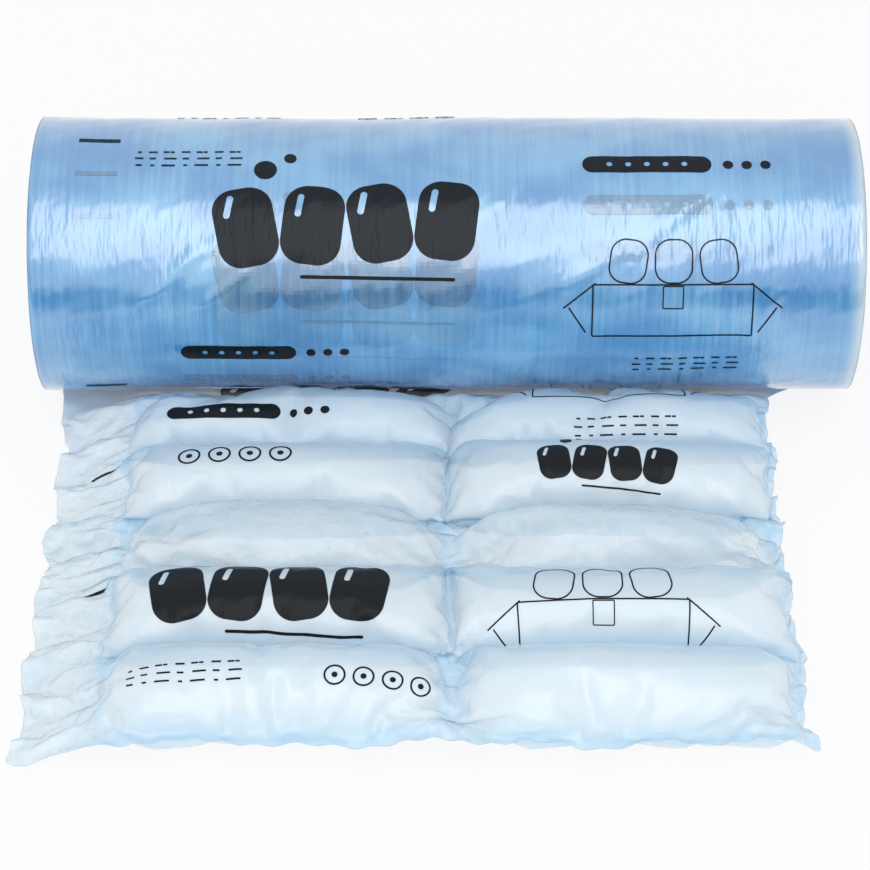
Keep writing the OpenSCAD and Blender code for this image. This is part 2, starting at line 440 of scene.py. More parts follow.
def wound_film(name, ink=0.0):
    """The film on the roll, with a share of ink in its colour."""
    material, tree, shader = new_material(name)
    place = film_place(tree)
    streaks = film_noise(place, 1, detail=2, stretch=(0.4, 0.012, 1))
    clouds = film_noise(place, 1, detail=2, stretch=(0.02, 0.03, 1))
    colour = blend(ramp(streaks * 0.45 + clouds, -0.25, 0.3), WOUND_DEEP, WOUND_MILKY)
    edge = ramp(abs(xyz(place)[0] + EDGE_SHIFT), EDGE_FROM, EDGE_TO)
    colour = blend(edge, colour, WOUND_EDGE)
    if ink:
        colour = blend(ink, colour, INK)

    ridges = film_noise(place, 1, detail=1, stretch=(0.9, 0.02, 1))
    jags = film_noise(place, 1, detail=2, roughness=0.6, stretch=(0.17, 0.045, 1))
    roughness = ramp(streaks, -0.3, 0.3, 0.19, 0.27)
    fill(shader, Base_Color=colour, Roughness=roughness, Normal=bump(ridges * RIDGE_H + jags * JAG_H))
    if ink > 0.9:
        fill(shader, Specular_IOR_Level=0.16, Coat_Weight=0.06, Coat_Roughness=0.1)
    else:
        fill(shader, IOR=1.8, Specular_IOR_Level=1.0, Coat_Weight=1.0, Coat_IOR=1.5, Coat_Roughness=0.14)
    return material


WOUND_FILM = wound_film("wound_film")
WOUND_INK = wound_film("wound_ink", 0.99)
INK_ONE_BELOW = wound_film("wound_ink_one_turn_below", 0.42)
INK_TWO_BELOW = wound_film("wound_ink_two_turns_below", 0.17)
print("wound film:", len(WOUND_FILM.node_tree.nodes), "nodes")

# %% [markdown]
# Seen from its ends, the roll shows the cut edges of its turns: a milky blue face with fine rings.
# The rings follow the distance from the roll's axis, so the material works that out from the
# Object coordinates. The cardboard tube is wound too, from a strip, so it has a slanted seam.

# %% Film edges and cardboard
ROLL_AXIS_Z = (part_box("core")[0].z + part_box("core")[1].z) / 2
EDGES_DEEP = (0.2, 0.45, 0.72, 1)
EDGES_PALE = (0.58, 0.78, 0.9, 1)
BOARD_DARK = (0.25, 0.155, 0.085, 1)
BOARD_PALE = (0.45, 0.31, 0.19, 1)
BOARD_SEAM = (0.13, 0.08, 0.045, 1)
BOARD_GLUE = (0.16, 0.1, 0.055, 1)
SEAM_PITCH = 92


def from_axis(tree):
    """A place from the roll's axis in mm, its x, its distance from it, and its turn round it."""
    here = vector("SUBTRACT", out(tree, "ShaderNodeTexCoord", output="Object"), (0, 0, ROLL_AXIS_Z))
    here = vector("MULTIPLY", here, (1 / MM,) * 3)
    x, y, z = xyz(here)
    return here, x, calc("SQRT", y * y + z * z), calc("ARCTAN2", y, z) / (2 * math.pi)


def film_edges():
    """The cut edges of the turns, in milky rings."""
    material, tree, shader = new_material("film_edges")
    here, _, radius, _ = from_axis(tree)
    # round the axis a unit vector has no seam, where an angle would jump
    outwards = vector("NORMALIZE", vector("MULTIPLY", here, (0, 1, 1)))
    rings = vector("ADD", outwards, from_xyz(tree, radius))
    fine = noise(rings, 2.2, detail=3, stretch=(1, 0.4, 0.4))
    broad = noise(rings, 0.32, detail=2, stretch=(1, 1.5, 1.5))
    colour = blend(ramp(fine + broad, -0.35, 0.4), EDGES_DEEP, EDGES_PALE)
    normal = bump(fine * 0.3 + broad * 0.4, 0.9)
    fill(shader, Base_Color=colour, Roughness=0.45, Normal=normal, Specular_IOR_Level=0.4)
    return material


def kraft_board():
    """The core's board, with its fibres, its plies and the seam of its winding."""
    material, tree, shader = new_material("kraft_board")
    here, x, radius, turn = from_axis(tree)
    fibres = noise(here, 1, detail=5, roughness=0.65, stretch=(0.35, 1.3, 1.3))
    speckle = noise(here, 2.6, detail=2)
    winding = calc("FRACT", turn + x / SEAM_PITCH)
    seam = ramp(abs(winding - 0.5), 0.0, 0.012, 1, 0)
    plies = noise(from_xyz(tree, radius), 2.4, detail=1)
    colour = blend(ramp(fibres, -0.3, 0.3), BOARD_DARK, BOARD_PALE)
    colour = blend(seam * 0.6, colour, BOARD_SEAM)
    colour = blend(ramp(plies, 0.0, 0.3, 0, 0.3), colour, BOARD_GLUE)
    normal = bump(fibres * 0.12 + speckle * 0.05 - seam * 0.2, 0.8)
    fill(shader, Base_Color=colour, Roughness=0.85, Normal=normal, Specular_IOR_Level=0.25)
    return material


FILM_EDGES = film_edges()
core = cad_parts["core"]
core.data.materials.clear()
core.data.materials.append(kraft_board())
print("core:", len(core.data.polygons), "faces in kraft board")

# %% [markdown]
# The blown-up film is only two thin layers with air between them. It is pale and lets some light
# through. It is bluer at its seals, where the layers are fused, and in the folded channel. Round
# the seals, on the steep backs of the cushions and under the roll the blue is painted shade, and on
# the first row also a painted reflection of the blue roll. So the piece carries two attributes of
# its own, painted on its points when it is made. `seal` is highest at a seal, on a steep
# back and under the roll, and fades into the cushions. `slack` is highest where the film hangs
# loose. They steer the colour, the clearness and the depth of the creases.

# %% Blown film
BLOWN_PALE = (0.8, 0.91, 0.98, 1)
# the blue of the seals, which also stands for painted shade and a painted reflection of the roll
BLOWN_SEAL_AND_SHADE = (0.46, 0.77, 1.0, 1)
# whiter creases in slack film: partly the film's own whitening, partly a painted highlight on the crease
# facets
BLOWN_CREASE_WHITE_AND_HIGHLIGHT = (0.88, 0.96, 1.0, 1)
ALPHA_TIGHT = 0.62
ALPHA_LOOSE = 0.48


def blown_film(name, ink=0.0):
    """The blown-up film, with a share of ink in its colour."""
    material, tree, shader = new_material(name)
    place = film_place(tree)
    seal, slack = (out(tree, "ShaderNodeAttribute", output="Fac", attribute_name=attribute)
                   for attribute in ("seal", "slack"))
    clouds = film_noise(place, 0.05, detail=2)
    # bluer at the seals, and painted shade and a painted reflection of the roll where the attribute is high
    colour = blend(calc("ADD", seal * 0.75, clouds * 0.25, clamp=True), BLOWN_PALE, BLOWN_SEAL_AND_SHADE)
    # where this noise crosses zero, its absolute value has a sharp valley, like a crease
    crease = abs(film_noise(place, 0.05, detail=3, roughness=0.55))
    # slack film is whiter along its creases: partly its own whitening, partly a painted highlight
    crease_white_and_highlight = ramp(crease, 0.0, 0.05, 1, 0) * (slack * 0.5)
    colour = blend(crease_white_and_highlight, colour, BLOWN_CREASE_WHITE_AND_HIGHLIGHT)
    if ink:
        colour = blend(ink, colour, INK)

    puckers = film_noise(place, 1, detail=1, stretch=(0.28, 0.02, 1))
    normal = bump(puckers * 0.2 - crease * ramp(slack, 0, 1, 0.3, 5))
    fill(shader, Base_Color=colour, Roughness=0.26, Normal=normal)
    if ink:
        fill(shader, Specular_IOR_Level=0.12)
    else:
        fill(shader, Alpha=ramp(slack, 0, 1, ALPHA_TIGHT, ALPHA_LOOSE),
             Specular_IOR_Level=0.6, Coat_Weight=0.5, Coat_Roughness=0.12)
    return material


BLOWN_FILM = blown_film("blown_film")
BLOWN_INK = blown_film("blown_ink", 0.995)
print("blown film:", len(BLOWN_FILM.node_tree.nodes), "nodes")

# %% [markdown]
# ## Floor and light
#
# The photograph was taken on white, under one wide softbox in front of and above the roll. The
# floor and the world are white to the camera and to reflections, through the Light Path node, but
# light the film only at a plain level, so the blues keep their own value and the floor keeps its
# shadow. In front the table ends, and the room there is dark. Only reflections see that, and it
# gives the roll the darker strip below its highlight.

# %% Floor
FLOOR_SIZE = 8
FLOOR_WHITE = (0.95, 0.95, 0.95, 1)
SHADOW_SHARE = 0.14
TABLE_DEPTH = 0.45
TABLE_BLUR = 0.25
ROOM = 0.04

floor_material = bpy.data.materials.new("studio_floor")
tree = emptied_tree(floor_material)
lit = out(tree, "ShaderNodeBsdfDiffuse", {"Color": FLOOR_WHITE})
y = xyz(out(tree, "ShaderNodeTexCoord", output="Object"))[1]
table = ramp(y, -TABLE_DEPTH - TABLE_BLUR, -TABLE_DEPTH, ROOM, 1)
path = wires(tree, "ShaderNodeLightPath")
white = out(tree, "ShaderNodeEmission", {"Strength": 1 - path["Is Glossy Ray"] * (1 - table)})
seen = largest(path["Is Camera Ray"], path["Is Glossy Ray"], path["Is Transmission Ray"])
share = seen * (1 - SHADOW_SHARE)
mixed = out(tree, "ShaderNodeMixShader", {0: share, 1: lit, 2: white})
add(tree, "ShaderNodeOutputMaterial", {"Surface": mixed})

half = FLOOR_SIZE / 2
corners = [(-half, -half, 0), (half, -half, 0), (half, half, 0), (-half, half, 0)]
floor_mesh = bpy.data.meshes.new("studio_floor")
floor_mesh.from_pydata(corners, [], [(0, 1, 2, 3)])
floor_mesh.materials.append(floor_material)
floor = bpy.data.objects.new("studio_floor", floor_mesh)
bpy.context.scene.collection.objects.link(floor)
print("floor", FLOOR_SIZE, "m square")

# %% [markdown]
# The world is the rest of the studio. It works by the direction of a ray, which Generated gives
# there: its z tells how high the ray goes, and its y whether it goes to the front or the back.

# %% World
AMBIENT = 0.72
# the dark room fades out between these heights, and between these directions towards the sides
ROOM_TOP = (0.05, 0.2)
ROOM_SIDES = (-0.6, -0.2)

world = bpy.data.worlds.new("studio")
tree = emptied_tree(world)
_, ray_y, ray_z = xyz(out(tree, "ShaderNodeTexCoord", output="Generated"))
path = wires(tree, "ShaderNodeLightPath")
dark = ramp(ray_z, *ROOM_TOP, 1 - ROOM, 0) * ramp(ray_y, *ROOM_SIDES, 1, 0)
level = path["Is Glossy Ray"] * (1 - dark - AMBIENT) + AMBIENT
level = largest(level, path["Is Camera Ray"], path["Is Transmission Ray"])
sky = out(tree, "ShaderNodeBackground", {"Color": (1, 1, 1, 1), "Strength": level})
add(tree, "ShaderNodeOutputWorld", {"Surface": sky})
bpy.context.scene.world = world
bpy.context.scene.view_settings.view_transform = "Standard"
print("the world lights the film at a level of", AMBIENT)

# %% [markdown]
# The softbox shows in the film as the long pale highlight, so its place and height were read from
# where that highlight starts and ends round the roll. A low second lamp fills the front, and
# leaves no highlight of its own.

# %% Lamps
ROLL_MIDDLE = Vector((0, 0, ROLL_AXIS_Z))


def softbox(name, elevation, distance, width, height, radiance):
    """A rectangular lamp in front that faces the roll. Its radiance is what a mirror would show."""
    data = bpy.data.lights.new(name, "AREA")
    data.shape = "RECTANGLE"
    data.size, data.size_y = width, height
    data.energy = radiance * math.pi * width * height
    lamp = bpy.data.objects.new(name, data)
    away = Vector((0, -math.cos(math.radians(elevation)), math.sin(math.radians(elevation))))
    lamp.location = ROLL_MIDDLE + away * distance
    lamp.rotation_euler = (-away).to_track_quat("-Z", "Y").to_euler()
    bpy.context.scene.collection.objects.link(lamp)
    return lamp


softbox("key_softbox", elevation=53, distance=2.2, width=1.25, height=2.0, radiance=1.85)
fill_softbox = softbox("fill_softbox", elevation=6, distance=1.8, width=2.0, height=0.6, radiance=1.2)
fill_softbox.visible_glossy = False

# %% [markdown]
# ## The wound film
#
# A roll is a flat thing wrapped round. So Geometry Nodes wrap one: a flat grid, as wide as the
# film and one turn long, has each point moved to its place on a cylinder. On the way the radius
# gets the slow waves of the winding and the fine tension bands that run round it. Two more grids
# become the ends, ring by ring, and a last one lines the bore. The grid's own flat place is kept
# as a UV map, so the print can lie on it as it was printed.
#
# A lathe or a cylinder primitive would be quicker, but neither gives the flat place for the print.
#
# Where the last turns are slack, the film lies in long slanted folds. They are part of the radius
# too: each is a tilted bar on the flat film, and the film rises near it.

# %% Sizes of the roll
ROLL_R = 68
ROLL_Z = ROLL_AXIS_Z / MM
FILM_W = (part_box("film_roll")[1].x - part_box("film_roll")[0].x) / MM
CORE_R = 28.6
ROLL_AROUND = 320
ROLL_ACROSS = 200
ROLL_RINGS = 42
# the place along the film that lies on top of the roll
FILM_ON_TOP = 375
# the ends and the bore have their places far aside on the UV map, where no print is laid
ASIDE = 1000
# slack folds on the roll's front: middle, length, width and tilt, in mm on the flat film
FOLDS = [((-132, 449), 34, 0.6, 46), ((-125, 446), 40, 1.2, 44), ((-106, 456), 26, 0.6, 40),
         ((93, 430), 88, 1.8, 34), ((110, 422), 52, 0.8, 39), ((40, 396), 44, 0.8, 50),
         ((-58, 402), 36, 0.6, 58), ((152, 470), 30, 0.6, 62)]
FOLD_H = 0.5
FOLD_REACH = 4.5
print("film", round(FILM_W, 1), "mm wide on an axis", round(ROLL_Z, 2), "mm above the floor")

# %% [markdown]
# The radius is worked out first, by nodes that know only the place on the flat film. The lumps
# fade out underneath, where the roll's weight presses the film flat.

# %% Radius of the film's skin
BAND_STRETCH = (0.075, 0.004, 1)
SLACK_STRETCH = (0.012, 0.05, 1)
SLACK_TILT = 28
SLACK_DEPTH = 1.6
PRESSED_FLAT = math.radians(165), math.radians(140)


def from_bar(place, centre, length, width, tilt):
    """Distance in mm from a tilted bar with round ends."""
    here = turned(vector("SUBTRACT", place, (*centre, 0)), tilt)
    beyond = vector("SUBTRACT", vector("ABSOLUTE", here), (length / 2, 0, 0))
    return vector("LENGTH", vector("MAXIMUM", beyond, (0, 0, 0))) - width / 2


def trig(kind, value, turns_per_unit, shift_degrees=0.0):
    """Sine or cosine of a value, with its period and shift."""
    return calc(kind, value * (2 * math.pi * turns_per_unit) + math.radians(shift_degrees))


def outer_radius(x, phi, size, wave, wrinkle):
    """Radius of the film's skin in mm, at a place across it and an angle from the top."""
    slow = trig("SINE", x, 1 / 250, 20) * 0.6 + trig("SINE", x, 1 / 97, 75) * 0.4
    flat = from_xyz(x.tree, x, phi * ROLL_R)
    bands = noise(flat, 1, detail=2, stretch=BAND_STRETCH)
    slack = noise(turned(flat, SLACK_TILT), 1, detail=2, stretch=SLACK_STRETCH)
    lumps = (bands + slack * SLACK_DEPTH) * wrinkle * ramp(abs(phi), *PRESSED_FLAT)
    on_film = vector("ADD", flat, (0, FILM_ON_TOP, 0))
    for fold in FOLDS:
        lumps += ramp(from_bar(on_film, *fold), FOLD_REACH, 0, 0, FOLD_H)
    return size + wave * (slow - 0.9) + lumps


print("the skin has", len(FOLDS), "slack folds")

# %% [markdown]
# Every tree here starts with named inputs and ends with one welded mesh, so two helpers do that.

# %% Helpers for Geometry Nodes
def new_tree(name, **kinds):
    """A Geometry Nodes tree with named inputs, which have _ for a space, and a mesh for its output."""
    tree = bpy.data.node_groups.new(name, "GeometryNodeTree")
    for label, kind in kinds.items():
        tree.interface.new_socket(label.replace("_", " "), in_out="INPUT", socket_type="NodeSocket" + kind)
    tree.interface.new_socket("Mesh", in_out="OUTPUT", socket_type="NodeSocketGeometry")
    return tree, wires(tree, "NodeGroupInput")


def join(tree, parts, distance):
    """The parts as one mesh, welded where their points meet."""
    joined = add(tree, "GeometryNodeJoinGeometry")
    for part in parts:
        connect(part, joined.inputs[0])
    welded = out(tree, "GeometryNodeMergeByDistance",
                 {"Geometry": Wire(joined.outputs[0]), "Distance": distance})
    return out(tree, "GeometryNodeRealizeInstances", {"Geometry": welded})


print("helpers for Geometry Nodes ready")

# %% [markdown]
# Then one tree puts the grids in their places and joins them. The turns of a real roll never end
# flush, so each end is stepped: broad bands of turns lie further in or out, with finer ones on
# them. At its outer rim and at the core the face stays flush, so that it meets the skin and the bore.

# %% Node tree that winds the film
END_BANDS = 14
END_RINGS = 41.9
RING_SHARE = 0.35
FLUSH_STEEPNESS = 25
# faces whose middle lies this much below the skin belong to the ends or the bore
BELOW_SKIN = 1.6
WELD = 0.00002


def end_steps(share, ring_step):
    """How far the roll's end lies further in than its rim, by the share of the way from the core."""
    band = calc("FLOOR", share * END_BANDS)
    back = trig("SINE", band, 137.5 / 360, 40) * trig("COSINE", band, 71.3 / 360)
    ring = out(share.tree, "ShaderNodeTexWhiteNoise", {"W": calc("FLOOR", share * END_RINGS)},
               noise_dimensions="1D")
    back = back * 0.5 + 0.5 + ring * RING_SHARE
    inner = calc("MULTIPLY", share, FLUSH_STEEPNESS, clamp=True)
    outer = calc("MULTIPLY", 1 - share, FLUSH_STEEPNESS, clamp=True)
    return (back * ring_step) * (inner * outer)


def roll_tree():
    """Winds a film: its skin, its two ends and its bore."""
    tree, given = new_tree("wind_film", Width="Float", Radius="Float", Core_radius="Float",
                           Axis_height="Float", Wave="Float", Wrinkle="Float", Ring_step="Float",
                           Rings="Int", Around="Int", Across="Int", Skin="Material", Ends="Material")
    x_flat, y_flat, _ = xyz(out(tree, "GeometryNodeInputPosition"))
    phi = y_flat * (2 * math.pi)
    skin_sizes = [given[label] for label in ("Radius", "Wave", "Wrinkle")]

    def placed(columns, x, radius, aside=0):
        grid = out(tree, "GeometryNodeMeshGrid", {"Size X": 1.0, "Size Y": 1.0, "Vertices X": columns,
                                                  "Vertices Y": given["Around"] + 1})
        uv = from_xyz(tree, (x + aside) * MM, (phi * ROLL_R + FILM_ON_TOP) * MM)
        kept = out(tree, "GeometryNodeStoreNamedAttribute", {"Geometry": grid, "Name": "film", "Value": uv},
                   data_type="FLOAT2", domain="CORNER")
        y = calc("SINE", phi) * radius * -1
        z = calc("COSINE", phi) * radius + given["Axis height"]
        place = vector("MULTIPLY", from_xyz(tree, x, y, calc("MAXIMUM", z, 0)), (MM, MM, MM))
        return out(tree, "GeometryNodeSetPosition", {"Geometry": kept, "Position": place})

    x = x_flat * given["Width"]
    parts = [placed(given["Across"] + 1, x, outer_radius(x, phi, *skin_sizes))]
    share = x_flat + 0.5
    for side in (-1, 1):
        edge = given["Width"] / 2 * side
        rim = outer_radius(edge, phi, *skin_sizes)
        radius = given["Core radius"] + share * (rim - given["Core radius"])
        face_x = edge - end_steps(share, given["Ring step"]) * side
        parts.append(placed(given["Rings"], face_x, radius, aside=side * ASIDE))
    parts.append(placed(2, x, given["Core radius"], aside=2 * ASIDE))

    whole = join(tree, parts, WELD)
    skinned = out(tree, "GeometryNodeSetMaterial", {"Geometry": whole, "Material": given["Skin"]})
    here = vector("SUBTRACT", out(tree, "GeometryNodeInputPosition"), (0, 0, ROLL_AXIS_Z))
    depth = vector("LENGTH", vector("MULTIPLY", here, (0, 1, 1)))
    below_skin = calc("LESS_THAN", depth, (ROLL_R - BELOW_SKIN) * MM)
    ends = out(tree, "GeometryNodeSetMaterial",
               {"Geometry": skinned, "Selection": below_skin, "Material": given["Ends"]})
    add(tree, "NodeGroupOutput", {0: ends})
    return tree


WIND_FILM = roll_tree()
print("the tree that winds the film has", len(WIND_FILM.nodes), "nodes")

# %% [markdown]
# A tree only makes its mesh while it is a live modifier. So it is set up on a helper object,
# evaluated once, and the result is kept as a plain mesh. An input of the modifier is set through
# its socket's identifier, because its name is only a label.

# %% Wind the film
def new_object(name, mesh):
    """An object in the scene that shows a mesh."""
    made = bpy.data.objects.new(name, mesh)
    bpy.context.scene.collection.objects.link(made)
    return made


def from_nodes(name, tree, values, source=None):
    """A plain mesh object made by a Geometry Nodes tree, from a source mesh or from nothing."""
    maker = new_object(name + "_maker", source or bpy.data.meshes.new(name + "_maker"))
    modifier = maker.modifiers.new("nodes", "NODES")
    modifier.node_group = tree
    for socket in tree.interface.items_tree:
        if socket.in_out == "INPUT" and socket.name in values:
            modifier[socket.identifier] = values[socket.name]
    graph = bpy.context.evaluated_depsgraph_get()
    mesh = bpy.data.meshes.new_from_object(maker.evaluated_get(graph), depsgraph=graph)
    mesh.name = name
    maker.modifiers.remove(modifier)
    bpy.data.objects.remove(maker)
    return new_object(name, mesh)


def tidy_normals(mesh):
    """Merge doubles, turn all faces outwards, shade them smooth, and count the open edges."""
    work = bmesh.new()
    work.from_mesh(mesh)
    bmesh.ops.remove_doubles(work, verts=work.verts, dist=WELD / 2)
    bmesh.ops.recalc_face_normals(work, faces=work.faces)
    open_edges = sum(1 for edge in work.edges if not edge.is_manifold)
    work.to_mesh(mesh)
    work.free()
    mesh.polygons.foreach_set("use_smooth", [True] * len(mesh.polygons))
    return open_edges


roll_values = {"Width": FILM_W, "Radius": float(ROLL_R), "Core radius": CORE_R, "Axis height": ROLL_Z,
               "Wave": 0.5, "Wrinkle": 0.9, "Ring step": 1.4, "Rings": ROLL_RINGS, "Around": ROLL_AROUND,
               "Across": ROLL_ACROSS, "Skin": WOUND_FILM, "Ends": FILM_EDGES}
roll = from_nodes("wound_film_roll", WIND_FILM, roll_values)
open_edges = tidy_normals(roll.data)
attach(roll, "root")
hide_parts("film_roll")
print("roll:", len(roll.data.polygons), "faces and", open_edges, "open edges")

# %% [markdown]
# ## Ink on the film
#
# The flat ink now has to bend with the film. Sample UV Surface does that: it takes each point of
# the flat print as a place on the film's UV map, and answers with the film's own place and normal
# there. The ink is pushed out a little and given a thickness, which closes it. The same node also
# reads the film's two attributes, so ink and film crease alike.

# %% Node tree that lays ink on film
INK_DEPTH = 0.14
INK_WELD = 0.000002


def lay_tree():
    """Lays a flat print on a film, and gives it a thickness."""
    tree, given = new_tree("lay_ink_on_film", Print="Geometry", Film="Object", Lift="Float", Depth="Float",
                           Ink="Material")
    film = out(tree, "GeometryNodeObjectInfo", {"Object": given["Film"]}, "Geometry")
    flat = out(tree, "GeometryNodeInputPosition")

    def attribute(name, kind):
        return out(tree, "GeometryNodeInputNamedAttribute", {"Name": name}, data_type=kind)

    def read(value, kind):
        sample = {"Mesh": film, "Value": value, "UV Map": film_uv, "Sample UV": flat}
        return wires(tree, "GeometryNodeSampleUVSurface", sample, data_type=kind)

    def store(mesh, name, value, **options):
        return out(tree, "GeometryNodeStoreNamedAttribute", {"Geometry": mesh, "Name": name, "Value": value},
                   **options)

    film_uv = attribute("film", "FLOAT_VECTOR")
    place = read(flat, "FLOAT_VECTOR")
    outwards = read(out(tree, "GeometryNodeInputNormal"), "FLOAT_VECTOR")["Value"]
    mesh = store(given["Print"], "film", flat, data_type="FLOAT2", domain="CORNER")
    for name in ("seal", "slack"):
        mesh = store(mesh, name, read(attribute(name, "FLOAT"), "FLOAT")["Value"], data_type="FLOAT")
    beside = out(tree, "FunctionNodeBooleanMath", {0: place["Is Valid"]}, operation="NOT")
    mesh = out(tree, "GeometryNodeDeleteGeometry", {"Geometry": mesh, "Selection": beside})
    lift = out(tree, "ShaderNodeVectorMath", {0: outwards, "Scale": given["Lift"]}, operation="SCALE")
    mesh = out(tree, "GeometryNodeSetPosition",
               {"Geometry": mesh, "Position": vector("ADD", place["Value"], lift)})
    skin = out(tree, "GeometryNodeExtrudeMesh",
               {"Mesh": mesh, "Offset Scale": given["Depth"], "Individual": False})
    under = out(tree, "GeometryNodeFlipFaces", {"Mesh": mesh})
    whole = join(tree, (skin, under), INK_WELD)
    inked_mesh = out(tree, "GeometryNodeSetMaterial", {"Geometry": whole, "Material": given["Ink"]})
    add(tree, "NodeGroupOutput", {0: inked_mesh})
    return tree


LAY_INK = lay_tree()


def lay_ink(name, print_mesh, film, lift, material):
    """Lay a flat print on a film, its underside lift mm above it, as a piece of its own."""
    values = {"Film": film, "Lift": lift * MM, "Depth": INK_DEPTH * MM, "Ink": material}
    piece = from_nodes(name, LAY_INK, values, print_mesh)
    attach(piece, "root")
    print(name + ":", len(piece.data.polygons), "faces")


print("the tree that lays ink has", len(LAY_INK.nodes), "nodes")

# %% [markdown]
# The roll has three layers of print: that of the outermost turn, and below it that of the next
# two, each shifted by what one turn is shorter than one repeat. Only bold shapes show through.
# Where the roll stands on the floor there is no room for ink, so shapes that reach there are left out.

# %% Print on the roll
TURN = 2 * math.pi * ROLL_R
ON_FLOOR = 9
first, last = FILM_ON_TOP - TURN / 2 + ON_FLOOR, FILM_ON_TOP + TURN / 2 - ON_FLOOR
BOLD = ("cushions", "bar")
LAYERS = [("print_on_roll", tuple(MOTIFS), 0.14, WOUND_INK),
          ("print_one_turn_below", BOLD, 0.07, INK_ONE_BELOW),
          ("print_two_turns_below", BOLD, 0.01, INK_TWO_BELOW)]
for below, (name, kinds, lift, ink) in enumerate(LAYERS):
    lay_ink(name, flat_print(first, last, kinds, below * (REPEAT - TURN)), roll, lift, ink)

# %% [markdown]
# ## The blown-up rows
#
# This is one web of film: two thin sheets, sealed across every 75 mm and along both ends of each
# chamber. Air pushes the sheets apart, so each flat chamber of 75 by 172 mm pulls in to a fat
# cushion about 50 mm long and 43 mm high, and its seals, which can't stretch or shrink, have to
# pucker. Puckers are hard to model by hand and easy for a cloth simulation, if it knows how long
# the film really is. So the web starts flat, at its true size. While the chambers fill, its seals
# are drawn to the places where the photograph shows them, and the film finds its own creases.
#
# The web is a grid of rows and columns. Its lines fall on the seals, and lie about 4 mm apart
# between them.

# %% Sizes of the web
CHANNEL = 45
MID_SEAL = 4
EDGE_SEAL = 6
COLUMN = (FILM_W - CHANNEL - MID_SEAL - EDGE_SEAL) / 2
ROW_FLATS = np.array([66, 75, 75, 75, 75])
ROWS = len(ROW_FLATS)
ROW_STARTS = np.concatenate([[0], np.cumsum(ROW_FLATS)])
CROSS_SEAL = 3
HEM = 3
# the web from the roll to the first cross seal
LEAD_FLAT = 52
CELL = 3.8


def lines_over(start, length, part, last=True):
    """Grid lines over one stretch of film: place, number of the part, and share of its length."""
    count = max(1, round(length / CELL))
    return [(start + length * k / count, part, k / count) for k in range(count + last)]


left = -FILM_W / 2
lines = lines_over(left, CHANNEL, 0, last=False) + lines_over(left + CHANNEL, COLUMN, 1)
lines += lines_over(left + CHANNEL + COLUMN + MID_SEAL, COLUMN, 2)
lines += [(FILM_W / 2 - EDGE_SEAL / 2, 3, 0.5), (FILM_W / 2, 3, 1.0)]
u_line, column_line, s_line = (np.array(values, float) for values in zip(*lines))
lines = lines_over(-LEAD_FLAT, LEAD_FLAT, -1, last=False)
for row in range(ROWS):
    lines += lines_over(ROW_STARTS[row] + CROSS_SEAL / 2, ROW_FLATS[row] - CROSS_SEAL, row)
lines.append((ROW_STARTS[-1] + HEM, ROWS, 1.0))
v_line, row_line, t_line = (np.array(values, float) for values in zip(*lines))

u, v = np.meshgrid(u_line, v_line)
column, row = np.meshgrid(column_line.astype(int), row_line.astype(int))
s, t = np.meshgrid(s_line, t_line)
lead = row < 0
in_rows = (row >= 0) & (row < ROWS)
chamber = in_rows & ((column == 1) | (column == 2))
inside = chamber & (s > 0) & (s < 1) & (t > 0) & (t < 1)
print("grid of", u.shape[1], "by", u.shape[0], "points,", int(inside.sum()), "of them inside chambers")

# %% [markdown]
# The next cell says where the seals go: how far apart the rows lie when they are full, how high
# the seals hang, and how the film of each row's end draws in. Each seal also gets a few waves of
# its own, as long as the film that it has to lose. Without them the simulation would have to fold
# a third of the seal's length into the width of one cell.

# %% Places of the seals when blown up
# the rows from the roll to the front: the first lies partly under the roll, and the third is slack
PITCH = 52
PITCH_SHARES = np.array([0.92, 0.87, 0.74, 0.98, 1.01])
HEIGHT_SHARES = np.array([0.83, 1, 1, 1, 1])
TUBE_H = 43.5
SLACK_ROW = 2
SLACK_H = 37
# the share of its width that the web keeps, and the place of its middle seal
SHRINK = 0.885
MID_X = 1
# cross seals stick out this far at the sides, and the front edge is waved and set back at its corner
EAR = 3.5
HEM_WAVE = 1.8
CORNER_BACK = 5.5
# a cushion swells over this much film from its end, and stays steep up to this angle
END_LEN = 27
END_FULLNESS = 0.72
STEEP = math.radians(82)
SEAM_DROP = 1.6
SEAM_Z = TUBE_H / 2 - SEAM_DROP
ROLL_GAP = 0.5
# the web leaves the roll at this height, this far from it, and is planned clear of it by this much
LEAD_Z = 0.6
LEAD_GAP = 0.3
PLAN_GAP = 0.6

row_lengths = PITCH * PITCH_SHARES
first_seam = 2 * math.sqrt(ROLL_R * TUBE_H / 2) - row_lengths[0] / 2
seams = first_seam + np.concatenate([[0], np.cumsum(row_lengths)])
lead_start = math.sqrt((ROLL_R + LEAD_GAP) ** 2 - (ROLL_Z - LEAD_Z) ** 2)
row_or_0 = np.clip(row, 0, ROWS - 1)
length = row_lengths[row_or_0]

